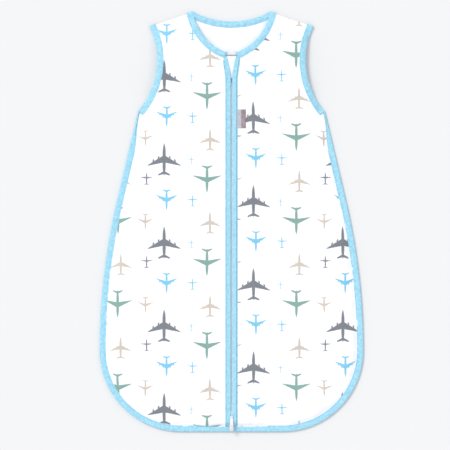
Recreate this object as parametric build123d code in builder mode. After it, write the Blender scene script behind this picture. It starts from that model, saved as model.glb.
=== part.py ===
"""Baby sleeping bag: a sleeveless, zipped bag that lies on its back.

The frame: +X is the wearer's left, +Y runs from the hem to the neck, +Z is up, out of the front.
The origin is under the middle of the bag, on the surface that it rests on. Sizes are in millimetres.

The front and the back are each a shell, a wadding and a lining. They are held together by one
bias binding round the sides and hem, and they are sewn together at the shoulders. Bindings also
wrap the neck, the armholes and both sides of the zip, which closes from the neck to the hem.
"""

from build123d import *
from math import atan2, cos, hypot, sin, tan
import os

os.makedirs("parts", exist_ok=True)

# Outline of the bag, laid flat
bag_length = 700.0            # from the shoulders to the hem, over the bindings
hem_half_width = 219.0        # widest place, at the cut edge of the cloth
widest_above_hem = 134.4      # height of the widest place above the cut edge of the hem
chest_half_width = 155.0      # at the underarm
underarm_below_top = 166.4
side_bow = 1.455              # 1 gives a straight side, 2 a side that is one arc
shoulder_half_width = 136.0   # at the tip of the shoulder
shoulder_drop = 24.0          # fall of the shoulder from the neck to the tip
armhole_scoop = 21.8          # depth of the armhole's arc
neck_half_width = 65.0
front_neck_depth = 73.0
front_neck_bow = 12.4
back_neck_depth = 17.0

# Cloth
shell_thickness = 0.6
wadding_thickness = 1.2
lining_thickness = 0.6
binding_thickness = 0.6
binding_width = 10.0
inner_space = 6.5             # air between the two linings
rim_clearance = 0.5           # from the inner edge of a binding to the foot of the slope
wadding_setback = 1.5         # from the foot of the slope to the edge of the wadding
front_slope = 8.0             # width of the slope from the seam up to the front
back_slope = 2.0

# Zip
lip_gap = 2.4                 # opening between the two zip bindings
lip_overhang = 4.4            # from the edge of the front cloth to the edge of the binding
zip_binding_width = 10.3
neck_gap = 13.6               # width of the V above the zip's top end
neck_gap_depth = 38.0
tape_width = 12.0
tape_thickness = 0.6
tape_gap = 4.0                # between the edges of the two tapes
tooth_width = 1.8
tooth_height = 1.8
tooth_length = 1.6
tooth_pitch = 3.0
tooth_spine = 0.8             # solid strip along the outer ends of the teeth
tooth_gap = 1.2               # between the two rows, where the slider's post runs
stop_length = 3.0
slider_length = 11.0
slider_width = 8.0
slider_plate = 0.8
slider_flange = 0.8
slider_round = 1.6
slider_chamfer = 0.3
post_width = 0.6
post_length = 2.5
clearance = 0.3               # between pieces that move past each other
lug_width = 1.8
lug_wall = 0.8                # round the hole for the pull's pin
pin_radius = 0.75
pin_clearance = 0.1
fork_arm = 1.4
fork_eye_radius = 1.0
pull_head_length = 12.0       # from the pin to the end that the tab is moulded on
pull_head_thickness = 1.2
pull_tab_length = 13.0
pull_tab_width = 6.6
pull_tab_grip = 1.5           # how far the head reaches into the tab
pull_tab_round = 2.4
pull_tab_edge = 0.5
box_length = 7.0
box_width = 7.0
box_height = 3.4
box_round = 1.0
pin_length = 6.0              # of the insertion pin, below its box
guard_thickness = 0.6
guard_overlap = 18.0          # of the zip guard, on each side of the zip
guard_gap = 1.2               # between the guard and the lining of the back

# Label
label_width = 12.0
label_length = 31.0
label_thickness = 0.8
label_low_y = 155.0           # height above the middle of the bag

# Heights at the seams, where all layers lie on each other
back_shell_low = binding_thickness
back_shell_top = back_shell_low + shell_thickness
seam_height = back_shell_top + lining_thickness
front_lining_seam = seam_height + lining_thickness
front_shell_seam = front_lining_seam + shell_thickness

# Heights inside the seams
back_wadding_top = back_shell_top + wadding_thickness
back_lining_top = back_wadding_top + lining_thickness
front_lining_low = back_lining_top + inner_space
front_lining_top = front_lining_low + lining_thickness
front_wadding_top = front_lining_top + wadding_thickness
front_shell_top = front_wadding_top + shell_thickness
ceiling = front_shell_top + binding_thickness + clearance

# Places on the outline
cloth_top = bag_length / 2 - binding_thickness
hem_y = -cloth_top
widest_y = hem_y + widest_above_hem
underarm_y = cloth_top - underarm_below_top
front_neck_y = cloth_top - front_neck_depth
neck_point = (neck_half_width, cloth_top)
shoulder_tip = (shoulder_half_width, cloth_top - shoulder_drop)
underarm_point = (chest_half_width, underarm_y)
widest_point = (hem_half_width, widest_y)
hem_corner = (hem_half_width - widest_above_hem, hem_y)
outside = 100.0               # how far a cutting shape reaches past the cloth

# Necklines: depth, half width of the flat over the zip, and radius of the curve on each side
front_neck_chord = hypot(neck_half_width - neck_gap / 2, front_neck_depth)
front_neck_radius = (front_neck_chord**2 / 4 + front_neck_bow**2) / (2 * front_neck_bow)
front_neck = (front_neck_depth, neck_gap / 2, front_neck_radius)
back_neck_radius = (neck_half_width**2 + back_neck_depth**2) / (2 * back_neck_depth)
back_neck = (back_neck_depth, 0, back_neck_radius)

# Insets of the slopes
shell_foot = binding_width + rim_clearance
wadding_foot = shell_foot + wadding_setback
lining_crest = wadding_foot + front_slope

# The side runs straight down from the underarm and then along one arc to the widest place
side_fall = underarm_y - widest_y
side_flare = hem_half_width - chest_half_width
side_lean = side_bow * atan2(side_flare, side_fall)
side_radius = (side_fall * tan(side_lean) - side_flare) / (sin(side_lean) * tan(side_lean) + cos(side_lean) - 1)
side_bend = (
    hem_half_width - side_radius * (1 - cos(side_lean)),
    widest_y + side_radius * sin(side_lean),
)

# Places along the zip
lip_edge = lip_gap / 2
panel_edge = lip_edge + lip_overhang
web_edge = panel_edge - binding_thickness
zip_binding_edge = lip_edge + zip_binding_width
zip_top_y = front_neck_y - neck_gap_depth
tape_low_y = hem_y + lining_crest
tape_top_z = front_lining_low - binding_thickness
tape_low_z = tape_top_z - tape_thickness
chain_z = tape_top_z - tape_thickness / 2
chain_low_y = tape_low_y + stop_length
box_low_y = zip_top_y - box_length
slider_low_y = chain_low_y + clearance
slider_y = slider_low_y + slider_length / 2
slider_half_height = tooth_height / 2 + clearance + slider_plate
lug_radius = pin_radius + pin_clearance + lug_wall
pivot_y = slider_low_y + lug_radius
pivot_z = ceiling + fork_eye_radius
fork_inner = lug_width / 2 + clearance
fork_outer = fork_inner + fork_arm
fork_root_y = pivot_y - lug_radius - clearance
tab_top_y = pivot_y - pull_head_length + pull_tab_grip


def save(piece, name):
    """Label a finished piece and write it as a STEP file of the same name."""
    piece.part.label = name
    export_step(piece.part, f"parts/{name}.step")


def outline(inset):
    """The bag's outline with the neck and the armholes filled in, moved inwards by an inset."""
    with BuildSketch() as face:
        with BuildLine():
            Line((0, cloth_top), neck_point)
            Line(neck_point, shoulder_tip)
            Line(shoulder_tip, underarm_point)
            Line(underarm_point, side_bend)
            RadiusArc(side_bend, widest_point, side_radius)
            RadiusArc(widest_point, hem_corner, widest_above_hem)
            Line(hem_corner, (0, hem_y))
            mirror(about=Plane.YZ)
        make_face()
        if inset:
            offset(amount=-inset, kind=Kind.INTERSECTION)
    return face.sketch


def neck_hole(neckline, grow):
    """What a neckline cuts away, grown outwards. It may be flat in the middle, over the zip."""
    depth, half_flat, radius = neckline
    low_point = (half_flat, cloth_top - depth)
    with BuildSketch() as hole:
        with BuildLine():
            Line((0, cloth_top + outside), (neck_half_width, cloth_top + outside))
            Line((neck_half_width, cloth_top + outside), neck_point)
            RadiusArc(neck_point, low_point, radius)
            if half_flat:
                Line(low_point, (0, cloth_top - depth))
            mirror(about=Plane.YZ)
        make_face()
        if grow:
            offset(amount=grow, kind=Kind.INTERSECTION)
    return hole.sketch


def armholes(grow):
    """What the two armholes cut away, grown by an amount towards the middle of the bag."""
    with BuildSketch() as holes:
        with BuildLine():
            SagittaArc(shoulder_tip, underarm_point, -armhole_scoop)
            Polyline(
                underarm_point,
                (chest_half_width + outside, underarm_y),
                (chest_half_width + outside, cloth_top),
                (shoulder_half_width, cloth_top),
                shoulder_tip,
            )
        make_face()
        if grow:
            offset(amount=grow, kind=Kind.INTERSECTION)
        mirror(about=Plane.YZ)
    return holes.sketch


def zip_strip(half_width):
    """A strip along the zip that widens into a V between the zip's top end and the neck."""
    widening = neck_gap / 2 - lip_edge
    with BuildSketch() as strip:
        with BuildLine():
            Polyline(
                (0, hem_y - outside),
                (half_width, hem_y - outside),
                (half_width, zip_top_y),
                (half_width + widening, front_neck_y),
                (half_width + widening, front_neck_y + outside),
                (0, front_neck_y + outside),
            )
            mirror(about=Plane.YZ)
        make_face()
    return strip.sketch


def pillow(foot_z, crest_z, foot_inset, slope, grow=0.0):
    """A flat rim up to foot_z on the whole outline, then a slope up to a flat top at crest_z."""
    with BuildPart() as body:
        with BuildSketch():
            add(outline(-grow))
        extrude(amount=foot_z)
        with BuildSketch(Plane.XY.offset(foot_z)):
            add(outline(foot_inset))
        with BuildSketch(Plane.XY.offset(crest_z)):
            add(outline(foot_inset + slope))
        loft()
    return body.part


def prism(sketch, low, high):
    """A sketch drawn out straight between two heights."""
    with BuildPart() as body:
        with BuildSketch(Plane.XY.offset(low)):
            add(sketch)
        extrude(amount=high - low)
    return body.part


# Surfaces between the layers, each as the solid that lies under it
shell_over = pillow(front_shell_seam, front_shell_top, shell_foot, front_slope)
shell_under = pillow(front_lining_seam, front_wadding_top, shell_foot, front_slope)
wadding_under = pillow(front_lining_seam, front_lining_top, wadding_foot, front_slope)
lining_under = pillow(seam_height, front_lining_low, wadding_foot, front_slope)
back_wadding_over = pillow(back_shell_top, back_wadding_top, wadding_foot, back_slope)
back_lining_over = pillow(seam_height, back_lining_top, wadding_foot, back_slope)
binding_over = pillow(
    front_shell_seam + binding_thickness,
    front_shell_top + binding_thickness,
    shell_foot,
    front_slope,
    grow=binding_thickness,
)
binding_under = pillow(
    seam_height - binding_thickness,
    front_lining_low - binding_thickness,
    wadding_foot,
    front_slope,
)
back_binding_over = pillow(
    seam_height + binding_thickness,
    back_lining_top + binding_thickness,
    wadding_foot,
    back_slope,
    grow=binding_thickness,
)

# The cut panels
with BuildSketch() as front_panel:
    add(outline(0))
    add(neck_hole(front_neck, 0), mode=Mode.SUBTRACT)
    add(armholes(0), mode=Mode.SUBTRACT)
    add(zip_strip(panel_edge), mode=Mode.SUBTRACT)

with BuildSketch() as back_panel:
    add(outline(0))
    add(neck_hole(back_neck, 0), mode=Mode.SUBTRACT)
    add(armholes(0), mode=Mode.SUBTRACT)


def shell_layer(over, under, panel, low):
    """The cloth between two pillow surfaces, cut to a panel, from a lowest height upwards."""
    with BuildPart() as layer:
        add(over)
        if under:
            add(under, mode=Mode.SUBTRACT)
        add(prism(panel, low, ceiling), mode=Mode.INTERSECT)
    return layer.part


def band(grown, shrunk):
    """What a binding covers along a cut edge: a band on the cloth and a fold outside it."""
    with BuildSketch() as ring:
        add(grown)
        add(shrunk, mode=Mode.SUBTRACT)
        add(outline(-binding_thickness), mode=Mode.INTERSECT)
    return ring.sketch


def wrap(front_band, back_band):
    """A binding folded round the front's cloth in one band and round the back's in another."""
    front_run = shell_layer(binding_over, binding_under, front_band, 0)
    back_run = shell_layer(back_binding_over, None, back_band, 0)
    with BuildPart() as binding:
        add(front_run)
        add(back_run)
        add(front_cloth, mode=Mode.SUBTRACT)
        add(back_cloth, mode=Mode.SUBTRACT)
    return binding.part


# The cloth of the front and of the back, all layers together
front_cloth = shell_layer(shell_over, lining_under, front_panel.sketch, 0)
back_cloth = shell_layer(back_lining_over, None, back_panel.sketch, back_shell_low)

# The bands under the bindings
with BuildSketch() as below_underarm:
    with Locations((0, underarm_y)):
        Rectangle(2 * hem_half_width + outside, bag_length, align=(Align.CENTER, Align.MAX))

with BuildSketch() as edge_band:
    add(band(outline(-binding_thickness), outline(binding_width)))
    add(below_underarm.sketch, mode=Mode.INTERSECT)

with BuildSketch() as armhole_bands:
    add(band(armholes(binding_width), armholes(-binding_thickness)))
    add(below_underarm.sketch, mode=Mode.SUBTRACT)

back_neck_band = band(neck_hole(back_neck, binding_width), neck_hole(back_neck, -binding_thickness))

with BuildSketch() as front_neck_band:
    add(band(neck_hole(front_neck, binding_width), neck_hole(front_neck, -binding_thickness)))
    add(zip_strip(zip_binding_edge), mode=Mode.SUBTRACT)

# Edge binding: one run round the sides and the hem, from underarm to underarm
with BuildPart() as edge_binding:
    add(wrap(edge_band.sketch, edge_band.sketch))
save(edge_binding, "edge_binding")

# Neck binding: up one side of the front, round the back of the neck and down the other side
with BuildPart() as neck_binding:
    add(wrap(front_neck_band.sketch, back_neck_band))
save(neck_binding, "neck_binding")

# Back: the shell lies flat on the surface below, level with the underside of the bindings
with BuildSketch() as back_field:
    add(back_panel.sketch)
    add(edge_band.sketch, mode=Mode.SUBTRACT)
    add(armhole_bands.sketch, mode=Mode.SUBTRACT)
    add(back_neck_band, mode=Mode.SUBTRACT)

with BuildPart() as back_shell:
    add(prism(back_panel.sketch, back_shell_low, back_shell_top))
    add(prism(back_field.sketch, 0, back_shell_low))
save(back_shell, "back_shell")

with BuildPart() as back_wadding:
    add(shell_layer(back_wadding_over, None, back_panel.sketch, back_shell_top))
save(back_wadding, "back_wadding")

with BuildPart() as back_lining:
    add(shell_layer(back_lining_over, back_wadding_over, back_panel.sketch, back_shell_top))
save(back_lining, "back_lining")

# Front layers, armhole bindings, zip bindings and tapes come as a left and a right piece
front_shell = shell_layer(shell_over, shell_under, front_panel.sketch, 0)
front_wadding = shell_layer(shell_under, wadding_under, front_panel.sketch, 0)
front_lining = shell_layer(wadding_under, lining_under, front_panel.sketch, 0)
armhole_binding = wrap(armhole_bands.sketch, armhole_bands.sketch)


def save_halves(whole, name):
    """Write a left and a right piece from one that is the same on both sides of the bag."""
    for side, keep in (("left", Keep.TOP), ("right", Keep.BOTTOM)):
        with BuildPart() as half:
            add(whole)
            split(bisect_by=Plane.YZ, keep=keep)
        save(half, f"{name}_{side}")


def zip_band(inner_edge):
    """What a zip binding covers, from an inner edge outwards, between the hem and the neck."""
    with BuildSketch() as strip:
        add(zip_strip(zip_binding_edge))
        add(zip_strip(inner_edge), mode=Mode.SUBTRACT)
        add(outline(binding_width), mode=Mode.INTERSECT)
        add(neck_hole(front_neck, -binding_thickness), mode=Mode.SUBTRACT)
    return strip.sketch


def bar(inner_x, outer_x, low_y, high_y, low_z, high_z):
    """A straight bar beside the zip, on the wearer's left."""
    with BuildPart() as body:
        with BuildSketch(Plane.XY.offset(low_z)):
            with Locations((inner_x, low_y)):
                Rectangle(outer_x - inner_x, high_y - low_y, align=(Align.MIN, Align.MIN))
        extrude(amount=high_z - low_z)
    return body.part


save_halves(front_shell, "front_shell")
save_halves(front_wadding, "front_wadding")
save_halves(front_lining, "front_lining")
save_halves(armhole_binding, "armhole_binding")

# Zip bindings: each folds round the edge of the front, and its lip hides one row of teeth
with BuildPart() as zip_binding:
    add(shell_layer(binding_over, binding_under, zip_band(web_edge), 0))
    add(shell_layer(binding_over, shell_over, zip_band(lip_edge), 0))
    add(front_cloth, mode=Mode.SUBTRACT)
    add(back_cloth, mode=Mode.SUBTRACT)
save_halves(zip_binding.part, "zip_binding")

# Zip tapes, sewn under the zip bindings
tape_edge = tape_gap / 2
with BuildPart() as zip_tape:
    add(bar(tape_edge, tape_edge + tape_width, tape_low_y, zip_top_y, tape_low_z, tape_top_z))
    mirror(about=Plane.YZ)
save_halves(zip_tape.part, "zip_tape")

# Teeth: the left row ends at the insertion pin, the right row at the retainer box
tooth_inner = tooth_gap / 2
tooth_outer = tooth_inner + tooth_width
tooth_low_z = chain_z - tooth_height / 2
tooth_top_z = chain_z + tooth_height / 2
pin_low_y = box_low_y - pin_length
for side, direction, row_top_y in (("left", 1, pin_low_y), ("right", -1, box_low_y)):
    tooth_count = int((row_top_y - chain_low_y) / tooth_pitch)
    middle_y = (row_top_y + chain_low_y) / 2
    with BuildPart() as zip_teeth:
        with BuildSketch(Plane.XY.offset(tooth_low_z)):
            with Locations((direction * (tooth_outer - tooth_spine / 2), middle_y)):
                Rectangle(tooth_spine, row_top_y - chain_low_y)
            with Locations((direction * (tooth_inner + tooth_width / 2), middle_y)):
                with GridLocations(0, tooth_pitch, 1, tooth_count):
                    Rectangle(tooth_width, tooth_length)
        extrude(amount=tooth_height)
        add(zip_tape.part, mode=Mode.SUBTRACT)
    save(zip_teeth, f"zip_teeth_{side}")

# End stops: one clamped on each tape, just below where the slider rests
channel_half_height = tooth_height / 2 + clearance
with BuildPart() as zip_end_stops:
    add(
        bar(
            tooth_inner,
            tooth_outer + clearance,
            tape_low_y,
            chain_low_y,
            chain_z - channel_half_height,
            chain_z + channel_half_height,
        )
    )
    mirror(about=Plane.YZ)
    add(zip_tape.part, mode=Mode.SUBTRACT)
save(zip_end_stops, "zip_end_stops")

# Insertion pin and retainer box, at the top end, where the bag opens right out
with BuildPart() as zip_insertion_pin:
    add(bar(tooth_inner, tooth_outer, pin_low_y, zip_top_y, tooth_low_z, tooth_top_z))
    add(zip_tape.part, mode=Mode.SUBTRACT)
save(zip_insertion_pin, "zip_insertion_pin")

with BuildPart() as zip_retainer_box:
    with Locations((0, box_low_y, chain_z)):
        Box(box_width, box_length, box_height, align=(Align.CENTER, Align.MIN, Align.CENTER))
    fillet(zip_retainer_box.edges().filter_by(Axis.Z), radius=box_round)
    add(zip_tape.part, mode=Mode.SUBTRACT)
    add(
        bar(
            tooth_inner - pin_clearance,
            tooth_outer + pin_clearance,
            box_low_y,
            zip_top_y,
            tooth_low_z - pin_clearance,
            tooth_top_z + pin_clearance,
        ),
        mode=Mode.SUBTRACT,
    )
save(zip_retainer_box, "zip_retainer_box")

# Slider: two plates joined by a post that runs between the rows, and a lug through the lips
with BuildPart() as zip_slider:
    with BuildSketch(Plane.XY.offset(chain_z - slider_half_height)):
        with Locations((0, slider_y)):
            RectangleRounded(slider_width, slider_length, slider_round)
    extrude(amount=2 * slider_half_height)
    chamfer(zip_slider.faces().sort_by(Axis.Z)[-1].edges(), length=slider_chamfer)
    with Locations((0, slider_y, chain_z)):
        Box(slider_width - 2 * slider_flange, slider_length, 2 * channel_half_height, mode=Mode.SUBTRACT)
        Box(slider_width, slider_length, tape_thickness + 2 * clearance, mode=Mode.SUBTRACT)
    with Locations((0, slider_low_y, chain_z)):
        Box(post_width, post_length, 2 * channel_half_height, align=(Align.CENTER, Align.MIN, Align.CENTER))
    lug_foot_z = chain_z + slider_half_height
    with BuildSketch(Plane.YZ):
        with Locations((pivot_y, pivot_z)):
            Circle(lug_radius)
        with Locations((pivot_y, lug_foot_z)):
            Rectangle(2 * lug_radius, pivot_z - lug_foot_z, align=(Align.CENTER, Align.MIN))
        with Locations((pivot_y, pivot_z)):
            Circle(pin_radius + pin_clearance, mode=Mode.SUBTRACT)
    extrude(amount=lug_width / 2, both=True)
save(zip_slider, "zip_slider")

# Pull head: a fork whose pin turns in the lug
with BuildPart() as zip_pull_head:
    with BuildSketch(Plane.XY.offset(pivot_z - pull_head_thickness / 2)):
        with Locations((0, pivot_y)):
            Rectangle(2 * fork_outer, pull_head_length, align=(Align.CENTER, Align.MAX))
            Rectangle(2 * fork_inner, pivot_y - fork_root_y, align=(Align.CENTER, Align.MAX), mode=Mode.SUBTRACT)
    extrude(amount=pull_head_thickness)
    with BuildSketch(Plane.YZ.offset(fork_inner)):
        with Locations((pivot_y, pivot_z)):
            Circle(fork_eye_radius)
    extrude(amount=fork_arm)
    mirror(about=Plane.YZ)
    with BuildSketch(Plane.YZ):
        with Locations((pivot_y, pivot_z)):
            Circle(pin_radius)
    extrude(amount=fork_outer, both=True)
save(zip_pull_head, "zip_pull_head")

# Pull tab: moulded on the end of the head
with BuildPart() as zip_pull_tab:
    with BuildSketch(Plane.XY.offset(ceiling)):
        with Locations((0, tab_top_y - pull_tab_length / 2)):
            RectangleRounded(pull_tab_width, pull_tab_length, pull_tab_round)
    extrude(amount=2 * (pivot_z - ceiling))
    fillet(zip_pull_tab.faces().sort_by(Axis.Z)[-1].edges(), radius=pull_tab_edge)
    fillet(zip_pull_tab.faces().sort_by(Axis.Z)[0].edges(), radius=pull_tab_edge)
    add(zip_pull_head.part, mode=Mode.SUBTRACT)
save(zip_pull_tab, "zip_pull_tab")

# Zip guard: a strip behind the zip, sewn to the lining on the wearer's left
guard_low_z = back_lining_top + guard_gap
guard_top_z = guard_low_z + guard_thickness
with BuildPart() as zip_guard:
    add(bar(-guard_overlap, guard_overlap, tape_low_y, front_neck_y, guard_low_z, guard_top_z))
    add(
        bar(
            guard_overlap - guard_thickness,
            guard_overlap,
            tape_low_y,
            zip_top_y,
            guard_low_z,
            front_lining_low,
        )
    )
save(zip_guard, "zip_guard")

# Side label: a bare folded label beside the zip
with BuildPart() as side_label:
    add(
        bar(
            zip_binding_edge,
            zip_binding_edge + label_width,
            label_low_y,
            label_low_y + label_length,
            front_shell_top,
            front_shell_top + label_thickness,
        )
    )
save(side_label, "side_label")
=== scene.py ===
"""Looks of a baby sleeping bag: printed muslin, bias bindings and a centre-front zip.

Everything is in metres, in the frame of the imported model: +X is the wearer's left, +Y runs from
the hem to the neck, +Z is up. The bag lies on its back at z = 0.
"""

import bpy
import math
import numpy as np
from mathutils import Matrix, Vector, noise
from mathutils.bvhtree import BVHTree


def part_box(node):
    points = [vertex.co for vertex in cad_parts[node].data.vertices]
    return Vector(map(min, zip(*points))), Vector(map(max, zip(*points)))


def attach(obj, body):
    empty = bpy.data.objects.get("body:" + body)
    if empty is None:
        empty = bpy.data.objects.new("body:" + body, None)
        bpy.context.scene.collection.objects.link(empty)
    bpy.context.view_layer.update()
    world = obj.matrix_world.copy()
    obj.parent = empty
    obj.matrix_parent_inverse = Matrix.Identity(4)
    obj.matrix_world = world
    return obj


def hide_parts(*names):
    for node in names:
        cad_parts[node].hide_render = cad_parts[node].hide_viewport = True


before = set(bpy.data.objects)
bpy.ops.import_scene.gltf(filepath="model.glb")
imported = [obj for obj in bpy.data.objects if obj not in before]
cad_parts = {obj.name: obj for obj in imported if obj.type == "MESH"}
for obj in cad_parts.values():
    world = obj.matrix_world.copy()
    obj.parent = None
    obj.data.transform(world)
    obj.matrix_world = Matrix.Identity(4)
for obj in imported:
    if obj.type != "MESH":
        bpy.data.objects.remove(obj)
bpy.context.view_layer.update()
MM = 0.001


# --- Sizes ------------------------------------------------------------------------------------

front_low, front_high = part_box("front_shell_left")
neck_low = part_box("neck_binding")[0]
armhole_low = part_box("armhole_binding_left")[0]
tape_low, tape_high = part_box("zip_tape_left")
guard_low, guard_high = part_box("zip_guard")
label_low, label_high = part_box("side_label")
tooth_low, tooth_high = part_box("zip_teeth_left")
other_tooth_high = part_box("zip_teeth_right")[1]
tab_low, tab_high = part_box("zip_pull_tab")

cloth_top = front_high.y
hem = front_low.y
widest = front_high.x
zip_edge = front_low.x                 # cut edge of the front beside the zip
zip_top = tape_high.y
underarm = armhole_low.y
crest = front_high.z                   # top of the front, inside the seams

binding_width = 10 * MM
binding_cloth = 0.6 * MM
front_neck = neck_low.y + binding_width
back_neck = cloth_top - 17 * MM
neck_half = 65 * MM
neck_flat = 6.8 * MM                   # half of the straight piece over the zip
front_neck_bow = 12.4 * MM
shoulder_tip = (136 * MM, cloth_top - 24 * MM)
underarm_point = (155 * MM, underarm)
armhole_scoop = 21.8 * MM
side_bend = (189.8 * MM, 35.8 * MM)    # where the straight side starts to bow
corner_radius = 134.4 * MM
side_bow = 7.3 * MM
neck_point = (neck_half, cloth_top)
gap_widening = 5.6 * MM                # of the V above the zip, on each side

seam_height = 3.0 * MM                 # where the front's lining meets the back's
rim_height = 3.6 * MM                  # top of the front at its outer seams
pad = 2.4 * MM                         # shell, wadding and lining together


# --- Lines of the pattern ---------------------------------------------------------------------

def arc(start, end, bow, steps):
    """Points on an arc whose middle stands off the chord by a bow, to the right of start to end."""
    start, end = np.array(start), np.array(end)
    chord = end - start
    length = np.hypot(*chord)
    right = np.array((chord[1], -chord[0])) / length
    radius = (length**2 / 4 + bow**2) / (2 * bow)
    centre = (start + end) / 2 + right * (bow - radius)
    first = math.atan2(*(start - centre)[::-1])
    turn = 2 * math.asin(min(1.0, length / 2 / abs(radius)))
    angles = first + np.linspace(0, 1, steps) * turn * (1 if bow > 0 else -1)
    return centre + abs(radius) * np.stack((np.cos(angles), np.sin(angles)), 1)


def joined(*runs):
    """Several runs of points as one line, without doubled points."""
    points = np.concatenate([np.atleast_2d(np.array(run, float)) for run in runs])
    kept = np.concatenate(([True], np.hypot(*np.diff(points, axis=0).T) > 1e-7))
    return points[kept]


def along(line, places):
    """Points on a line at places from 0 to 1 along its length."""
    steps = np.concatenate(([0], np.cumsum(np.linalg.norm(np.diff(line, axis=0), axis=1))))
    at = np.asarray(places) * steps[-1]
    return np.stack([np.interp(at, steps, line[:, k]) for k in range(line.shape[1])], 1)


def length_of(line):
    return float(np.linalg.norm(np.diff(line, axis=0), axis=1).sum())


corner_start = (widest - corner_radius, hem)
corner_bow = corner_radius * (1 - math.cos(math.radians(22.5)))
corner_middle = (
    widest - corner_radius + corner_radius * math.sin(math.radians(45)),
    hem + corner_radius - corner_radius * math.cos(math.radians(45)),
)
widest_point = (widest, hem + corner_radius)

hem_line = joined((zip_edge, hem), corner_start, arc(corner_start, corner_middle, corner_bow, 24))
side_line = joined(
    arc(corner_middle, widest_point, corner_bow, 24),
    arc(widest_point, side_bend, side_bow, 30),
    underarm_point,
)
armhole_line = arc(underarm_point, shoulder_tip, -armhole_scoop, 40)
shoulder_line = joined(neck_point, shoulder_tip)
whole_front_neck = arc((neck_flat, front_neck), neck_point, front_neck_bow, 60)
front_neck_line = whole_front_neck[whole_front_neck[:, 0] > zip_edge + gap_widening]
back_neck_radius = (neck_half**2 + (cloth_top - back_neck) ** 2) / (2 * (cloth_top - back_neck))
back_neck_angles = np.linspace(0, math.asin(neck_half / back_neck_radius), 40)
back_neck_line = np.stack(
    (
        back_neck_radius * np.sin(back_neck_angles),
        back_neck + back_neck_radius * (1 - np.cos(back_neck_angles)),
    ),
    1,
)
zip_line = joined((zip_edge, hem), (zip_edge, zip_top), front_neck_line[0])
filled_outline = joined(
    (0, cloth_top), neck_point, shoulder_tip, underarm_point, side_line[::-1], hem_line[::-1], (0, hem)
)


def folded(points):
    """The places of points with the bag folded along its middle."""
    return np.stack((np.abs(points[:, 0]), points[:, 1]), 1)


def nearest(points, line):
    """Distance of each point from a line, and how far along the line its nearest place is."""
    a, b = line[:-1], line[1:]
    run = b - a
    lengths = np.hypot(*run.T)
    starts = np.concatenate(([0], np.cumsum(lengths)[:-1]))
    distance = np.full(len(points), 1e9)
    place = np.zeros(len(points))
    for k in range(len(a)):
        t = np.clip(((points - a[k]) @ run[k]) / lengths[k] ** 2, 0, 1)
        d = np.hypot(*(points - a[k] - t[:, None] * run[k]).T)
        closer = d < distance
        distance[closer] = d[closer]
        place[closer] = starts[k] + t[closer] * lengths[k]
    return distance, place


def ease(value, start, end):
    """0 up to start, 1 from end, and smooth between them."""
    t = np.clip((value - start) / (end - start), 0, 1)
    return t * t * (3 - 2 * t)


def rough(points, scale, seed):
    """Smooth noise from -1 to 1 at points, one hump about each scale. It is the same each run."""
    return np.array([noise.noise(Vector((p[0] / scale, p[1] / scale, seed))) for p in points])


# --- Heights of the cloth ---------------------------------------------------------------------

pucker_height = 0.9 * MM
pucker_length = 11 * MM
pucker_reach = 20 * MM
sewn_lines = {
    "side": joined(hem_line, side_line),
    "armhole": armhole_line,
    "neck": front_neck_line,
    "zip": zip_line,
}


def puckers(points, side):
    """Small gathers that the stitching of the bindings leaves in the cloth beside it."""
    half = folded(points)
    height = np.zeros(len(points))
    for seed, (name, line) in enumerate(sewn_lines.items()):
        distance, place = nearest(half, line)
        wave = rough(np.stack((place, distance / 5), 1), pucker_length, 3.7 * seed + side)
        strength = rough(np.stack((place, place), 1), 70 * MM, 9.1 * seed + side) * 0.5 + 0.6
        fade = np.exp(-np.clip(distance - 8 * MM, 0, None) / pucker_reach)
        height += wave * np.clip(strength, 0.1, 1) * fade
    return height


def creases(points, seed):
    """Soft, wide creases from folding and use."""
    turned = np.stack((points[:, 0] * 0.8 + points[:, 1] * 0.6, points[:, 1] * 0.45 - points[:, 0] * 0.5), 1)
    ridge = 1 - np.abs(rough(turned, 46 * MM, seed)) * 2
    wide = rough(points, 90 * MM, seed + 5)
    return 0.5 * ridge * np.abs(ridge) + 0.6 * wide


def front_height(points):
    """Height of the outside of the front above the surface that the bag lies on."""
    half = folded(points)
    inset = nearest(half, filled_outline)[0]
    rise = 9.5 * MM + 17 * MM * ease(half[:, 0], 22 * MM, 75 * MM)
    climb = 1 - (1 - np.clip((inset - 9 * MM) / rise, 0, 1)) ** 2.2
    left = points[:, 0] > 0
    ripple = np.zeros(len(points))
    for mask, side in ((left, 0.0), (~left, 40.0)):
        if mask.any():
            ripple[mask] = pucker_height * puckers(points[mask], side)
            ripple[mask] += 0.8 * MM * creases(points[mask], 11.3 + side)
    calm = ease(inset, 4 * MM, 16 * MM) * ease(half[:, 0], 8 * MM, 20 * MM)
    return rim_height + (crest - rim_height) * climb + ripple * calm


def back_height(points):
    """Height of the outside of the back, which rests on the surface below."""
    half = folded(points)
    inset = nearest(half, filled_outline)[0]
    ripple = np.clip(creases(points, 71.7), 0, None) * 0.5 * MM
    return binding_cloth + (ripple - binding_cloth) * ease(inset, 9 * MM, 16 * MM)


def pad_thickness(points, own_edges):
    """Shell, wadding and lining together. The stitching presses them thin at their edges."""
    half = folded(points)
    return 0.6 * MM + (pad - 0.6 * MM) * ease(nearest(half, own_edges)[0], 2 * MM, 16 * MM)


front_edges = joined(
    zip_line[::-1], hem_line, side_line, armhole_line, shoulder_line[::-1], front_neck_line[::-1]
)


def front_under(points):
    return front_height(points) - pad_thickness(points, front_edges)


def back_top(points):
    """Height of the back's lining."""
    return np.maximum(back_height(points) + pad, seam_height)


# --- Shader groups ----------------------------------------------------------------------------

def paint(red, green, blue):
    """A colour given as 0 to 255 on a screen, for a shader."""
    values = [v / 255 for v in (red, green, blue)]
    return [v / 12.92 if v <= 0.04045 else ((v + 0.055) / 1.055) ** 2.4 for v in values] + [1.0]


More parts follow.
